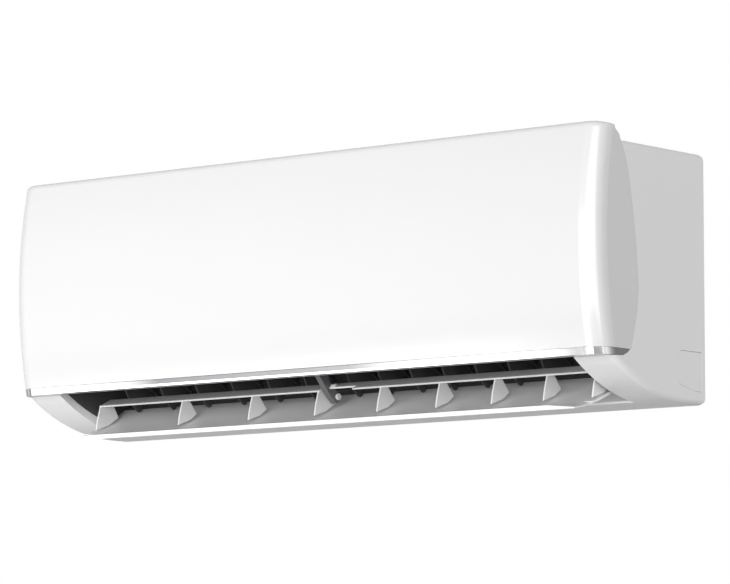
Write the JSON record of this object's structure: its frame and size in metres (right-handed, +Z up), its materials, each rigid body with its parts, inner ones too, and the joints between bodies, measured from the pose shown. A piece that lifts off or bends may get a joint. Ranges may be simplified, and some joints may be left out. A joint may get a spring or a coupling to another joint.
{
  "type": "mini split indoor unit",
  "caption": "Wall-mounted mini split indoor unit with a lift-up front panel, cross-flow fan, folded coil, vertical vanes and a tilting outlet louver.",
  "frame": {"origin": "centre of the wall plate's back face, which lies on the wall", "axes": "+X along the unit towards its motor and control end (the right end seen from the room), +Y into the wall, +Z up; the front panel faces -Y"},
  "size_m": [0.8358, 0.1989, 0.2981],
  "materials": {
    "white_plastic": "satin white",
    "panel_plastic": "gloss white",
    "bright_trim": "bright plated",
    "black_plastic": "matt black",
    "grey_plastic": "matt dark grey",
    "coil_fins": "hydrophilic coated fins",
    "copper": "drawn copper",
    "brass": "machined brass",
    "zinc_steel": "zinc plated sheet",
    "rubber": "matt",
    "circuit_board": "solder mask",
    "filter_net": "woven net on a moulded frame"
  },
  "bodies": {
    "casing": {"wall_plate": "zinc_steel", "rear_casing": "white_plastic", "front_casing": "white_plastic", "intake_grille": "white_plastic", "pipe_cover_left": "white_plastic", "pipe_cover_right": "white_plastic", "air_duct": "black_plastic", "drain_pan": "black_plastic", "drain_plug": "rubber", "evaporator_lower": "coil_fins", "evaporator_upper": "coil_fins", "evaporator_rear": "coil_fins", "coil_end_left": "copper", "coil_end_right": "copper", "gas_pipe": "copper", "liquid_pipe": "copper", "gas_flare_nut": "brass", "liquid_flare_nut": "brass", "pipe_clamp": "grey_plastic", "fan_motor": "zinc_steel", "motor_clamp": "white_plastic", "bearing_seat": "rubber", "fan_bearing": "zinc_steel", "control_box": "white_plastic", "control_box_cover": "zinc_steel", "circuit_board": "circuit_board", "terminal_block": "rubber", "display_board": "black_plastic", "centre_hook": "grey_plastic", "louver_motor": "zinc_steel", "vane_motor": "zinc_steel"},
    "louver": {"louver_flap": "white_plastic", "louver_slat": "white_plastic", "louver_shaft": "zinc_steel", "centre_pin": "white_plastic"},
    "panel": {"front_panel": "panel_plastic", "chrome_strip": "bright_trim"},
    "fan": {"crossflow_fan": "black_plastic", "motor_shaft": "zinc_steel"},
    "filter_left": {"air_filter_left": "filter_net"},
    "filter_right": {"air_filter_right": "filter_net"},
    "button": {"aux_button": "white_plastic"},
    "link_bar": {"vane_link_bar": "black_plastic"},
    "crank": {"vane_crank": "grey_plastic"},
    "vane_01": {"vane_01": "black_plastic"},
    "vane_02": {"vane_02": "black_plastic"},
    "vane_03": {"vane_03": "black_plastic"},
    "vane_04": {"vane_04": "black_plastic"},
    "vane_05": {"vane_05": "black_plastic"},
    "vane_06": {"vane_06": "black_plastic"},
    "vane_07": {"vane_07": "black_plastic"},
    "vane_08": {"vane_08": "black_plastic"},
    "vane_09": {"vane_09": "black_plastic"},
    "vane_10": {"vane_10": "black_plastic"},
    "vane_11": {"vane_11": "black_plastic"},
    "vane_12": {"vane_12": "black_plastic"},
    "vane_13": {"vane_13": "black_plastic"}
  },
  "joints": [
    {"name": "louver_tilt", "type": "hinge", "parent": "casing", "child": "louver", "pos_m": [0, -0.098, -0.124], "axis": [1, 0, 0], "range_deg": [-43, 0]},
    {"name": "panel_lift", "type": "hinge", "parent": "casing", "child": "panel", "pos_m": [0, -0.163, 0.123], "axis": [-1, 0, 0], "range_deg": [0, 58]},
    {"name": "fan_spin", "type": "hinge", "parent": "casing", "child": "fan", "pos_m": [0, -0.088, -0.025], "axis": [1, 0, 0], "continuous": true},
    {"name": "filter_left_lift", "type": "slide", "parent": "casing", "child": "filter_left", "axis": [0, 0, 1], "range_m": [0, 0.008]},
    {"name": "filter_right_lift", "type": "slide", "parent": "casing", "child": "filter_right", "axis": [0, 0, 1], "range_m": [0, 0.008]},
    {"name": "aux_button_press", "type": "slide", "parent": "casing", "child": "button", "axis": [0, 1, 0], "range_m": [0, 0.0015], "stiffness_N_per_m": 300, "springref_m": -0.0005},
    {"name": "vane_link_slide", "type": "slide", "parent": "casing", "child": "link_bar", "axis": [1, 0, 0], "range_m": [-0.0065, 0.0065]},
    {"name": "vane_crank_turn", "type": "hinge", "parent": "casing", "child": "crank", "pos_m": [-0.352, -0.04155, -0.1014], "axis": [0, -0.8794, 0.476], "range_deg": [-30, 30]},
    {"name": "vane_01_swing", "type": "hinge", "parent": "casing", "child": "vane_01", "pos_m": [-0.331, -0.04155, -0.1014], "axis": [0, -0.8794, 0.476], "range_deg": [-30, 30]},
    {"name": "vane_02_swing", "type": "hinge", "parent": "casing", "child": "vane_02", "pos_m": [-0.277, -0.04155, -0.1014], "axis": [0, -0.8794, 0.476], "range_deg": [-30, 30]},
    {"name": "vane_03_swing", "type": "hinge", "parent": "casing", "child": "vane_03", "pos_m": [-0.223, -0.04155, -0.1014], "axis": [0, -0.8794, 0.476], "range_deg": [-30, 30]},
    {"name": "vane_04_swing", "type": "hinge", "parent": "casing", "child": "vane_04", "pos_m": [-0.169, -0.04155, -0.1014], "axis": [0, -0.8794, 0.476], "range_deg": [-30, 30]},
    {"name": "vane_05_swing", "type": "hinge", "parent": "casing", "child": "vane_05", "pos_m": [-0.115, -0.04155, -0.1014], "axis": [0, -0.8794, 0.476], "range_deg": [-30, 30]},
    {"name": "vane_06_swing", "type": "hinge", "parent": "casing", "child": "vane_06", "pos_m": [-0.061, -0.04155, -0.1014], "axis": [0, -0.8794, 0.476], "range_deg": [-30, 30]},
    {"name": "vane_07_swing", "type": "hinge", "parent": "casing", "child": "vane_07", "pos_m": [0.001, -0.04155, -0.1014], "axis": [0, -0.8794, 0.476], "range_deg": [-30, 30]},
    {"name": "vane_08_swing", "type": "hinge", "parent": "casing", "child": "vane_08", "pos_m": [0.046, -0.04155, -0.1014], "axis": [0, -0.8794, 0.476], "range_deg": [-30, 30]},
    {"name": "vane_09_swing", "type": "hinge", "parent": "casing", "child": "vane_09", "pos_m": [0.091, -0.04155, -0.1014], "axis": [0, -0.8794, 0.476], "range_deg": [-30, 30]},
    {"name": "vane_10_swing", "type": "hinge", "parent": "casing", "child": "vane_10", "pos_m": [0.136, -0.04155, -0.1014], "axis": [0, -0.8794, 0.476], "range_deg": [-30, 30]},
    {"name": "vane_11_swing", "type": "hinge", "parent": "casing", "child": "vane_11", "pos_m": [0.181, -0.04155, -0.1014], "axis": [0, -0.8794, 0.476], "range_deg": [-30, 30]},
    {"name": "vane_12_swing", "type": "hinge", "parent": "casing", "child": "vane_12", "pos_m": [0.226, -0.04155, -0.1014], "axis": [0, -0.8794, 0.476], "range_deg": [-30, 30]},
    {"name": "vane_13_swing", "type": "hinge", "parent": "casing", "child": "vane_13", "pos_m": [0.271, -0.04155, -0.1014], "axis": [0, -0.8794, 0.476], "range_deg": [-30, 30]}
  ],
  "couplings": [
    {"joint": "vane_crank_turn", "follows": "vane_link_slide", "rad_per_m": 80.5},
    {"joint": "vane_01_swing", "follows": "vane_link_slide", "rad_per_m": 80.5},
    {"joint": "vane_02_swing", "follows": "vane_link_slide", "rad_per_m": 80.5},
    {"joint": "vane_03_swing", "follows": "vane_link_slide", "rad_per_m": 80.5},
    {"joint": "vane_04_swing", "follows": "vane_link_slide", "rad_per_m": 80.5},
    {"joint": "vane_05_swing", "follows": "vane_link_slide", "rad_per_m": 80.5},
    {"joint": "vane_06_swing", "follows": "vane_link_slide", "rad_per_m": 80.5},
    {"joint": "vane_07_swing", "follows": "vane_link_slide", "rad_per_m": 80.5},
    {"joint": "vane_08_swing", "follows": "vane_link_slide", "rad_per_m": 80.5},
    {"joint": "vane_09_swing", "follows": "vane_link_slide", "rad_per_m": 80.5},
    {"joint": "vane_10_swing", "follows": "vane_link_slide", "rad_per_m": 80.5},
    {"joint": "vane_11_swing", "follows": "vane_link_slide", "rad_per_m": 80.5},
    {"joint": "vane_12_swing", "follows": "vane_link_slide", "rad_per_m": 80.5},
    {"joint": "vane_13_swing", "follows": "vane_link_slide", "rad_per_m": 80.5}
  ]
}
